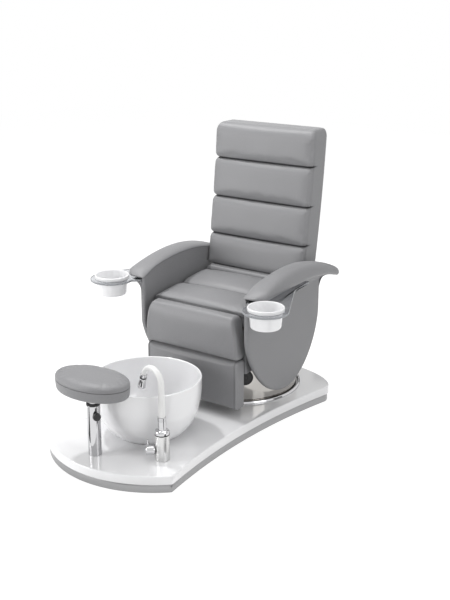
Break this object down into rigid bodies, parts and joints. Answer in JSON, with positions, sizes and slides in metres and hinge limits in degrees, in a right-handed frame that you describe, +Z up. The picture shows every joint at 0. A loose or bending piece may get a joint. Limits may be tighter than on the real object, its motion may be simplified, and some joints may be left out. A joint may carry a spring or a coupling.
{
  "type": "podiatry chair",
  "caption": "Grey upholstered podiatry chair that swivels and reclines on an hourglass platform, with foot basin, mixer with hand spray, footrest on a post and clear arm trays with cups.",
  "frame": {"origin": "on the floor, under the axis on which the chair swivels", "axes": "+Z up; -Y the way the sitter faces, towards the basin; +X the sitter's left, the side of the mixer"},
  "size_m": [1.096, 1.527, 1.35],
  "materials": {
    "grey_upholstery": "smooth upholstery leather over foam, with sewn channels",
    "white_gloss": "white high gloss",
    "polished_chrome": "mirror polished",
    "brushed_steel": "brushed",
    "black_paint": "satin black",
    "black_rubber": "matt",
    "black_plastic": "matt",
    "plywood": "raw board",
    "clear_acrylic": "clear, polished edges"
  },
  "bodies": {
    "platform": {"base_core": "plywood", "plinth_skirt": "brushed_steel", "platform_slab": "white_gloss", "base_ring": "polished_chrome", "pedestal": "black_paint", "pedestal_bolt_1": "brushed_steel", "pedestal_bolt_2": "brushed_steel", "pedestal_bolt_3": "brushed_steel", "pedestal_bolt_4": "brushed_steel", "pedestal_bolt_5": "brushed_steel", "pedestal_bolt_6": "brushed_steel", "bearing_lower_race": "brushed_steel", "foot_basin": "white_gloss", "basin_waste": "polished_chrome", "mixer_body": "brushed_steel", "mixer_seal": "black_rubber", "mixer_spout": "polished_chrome", "footrest_column": "polished_chrome", "footrest_bush": "black_rubber"},
    "chair": {"bearing_upper_race": "brushed_steel", "turntable_plate": "black_paint", "base_drum": "polished_chrome", "drum_plug": "black_rubber", "seat_carcass": "grey_upholstery", "seat_board": "plywood", "front_board": "plywood", "seat_cushion": "grey_upholstery", "knee_roll": "grey_upholstery", "leg_pad": "grey_upholstery", "hinge_ear_left": "brushed_steel", "hinge_ear_right": "brushed_steel", "recline_shaft": "brushed_steel", "recline_actuator": "black_paint", "arm_panel_left": "grey_upholstery", "arm_panel_right": "grey_upholstery", "arm_pad_left": "grey_upholstery", "arm_pad_right": "grey_upholstery", "tray_left": "clear_acrylic", "tray_right": "clear_acrylic"},
    "backrest": {"back_cushion": "grey_upholstery", "back_board": "plywood", "back_cover": "grey_upholstery", "back_strap_left": "brushed_steel", "back_strap_right": "brushed_steel", "recline_crank": "brushed_steel"},
    "actuator_rod": {"actuator_rod": "polished_chrome"},
    "cup_left": {"cup_left": "white_gloss"},
    "cup_right": {"cup_right": "white_gloss"},
    "mixer_handle": {"mixer_handle": "polished_chrome", "handle_pin": "polished_chrome"},
    "gooseneck": {"gooseneck": "white_gloss", "hand_spray": "polished_chrome"},
    "footrest_post": {"footrest_post": "polished_chrome"},
    "footrest_top": {"footrest_plate": "brushed_steel", "footrest_board": "plywood", "footrest_pad": "grey_upholstery"},
    "clamp_knob": {"clamp_knob": "black_plastic"}
  },
  "joints": [
    {"name": "chair_swivel", "type": "hinge", "parent": "platform", "child": "chair", "pos_m": [0, 0, 0.08], "axis": [0, 0, 1], "continuous": true},
    {"name": "back_recline", "type": "hinge", "parent": "chair", "child": "backrest", "pos_m": [0, 0.21827, 0.585], "axis": [-1, 0, 0], "range_deg": [0, 30]},
    {"name": "rod_slide", "type": "slide", "parent": "chair", "child": "actuator_rod", "axis": [0, -1, 0], "range_m": [0, 0.0692]},
    {"name": "cup_left_lift", "type": "slide", "parent": "chair", "child": "cup_left", "axis": [0, 0, 1], "range_m": [0, 0.12]},
    {"name": "cup_right_lift", "type": "slide", "parent": "chair", "child": "cup_right", "axis": [0, 0, 1], "range_m": [0, 0.12]},
    {"name": "mixer_handle_turn", "type": "hinge", "parent": "platform", "child": "mixer_handle", "pos_m": [0.228, -0.927, 0.1276], "axis": [-0.7071, -0.7071, 0], "range_deg": [0, 90]},
    {"name": "gooseneck_swivel", "type": "hinge", "parent": "platform", "child": "gooseneck", "pos_m": [0.228, -0.927, 0.2782], "axis": [0, 0, 1], "range_deg": [-80, 10]},
    {"name": "footrest_height", "type": "slide", "parent": "platform", "child": "footrest_post", "axis": [0, 0, 1], "range_m": [-0.015, 0.08]},
    {"name": "footrest_swivel", "type": "hinge", "parent": "footrest_post", "child": "footrest_top", "pos_m": [-0.046, -1.052, 0.3679], "axis": [0, 0, 1], "range_deg": [-30, 15]},
    {"name": "clamp_knob_turn", "type": "hinge", "parent": "platform", "child": "clamp_knob", "pos_m": [-0.046, -1.052, 0.2716], "axis": [0.866, -0.5, 0], "range_deg": [-180, 180]}
  ],
  "couplings": [
    {"joint": "rod_slide", "follows": "back_recline", "m_per_rad": 0.1315}
  ]
}
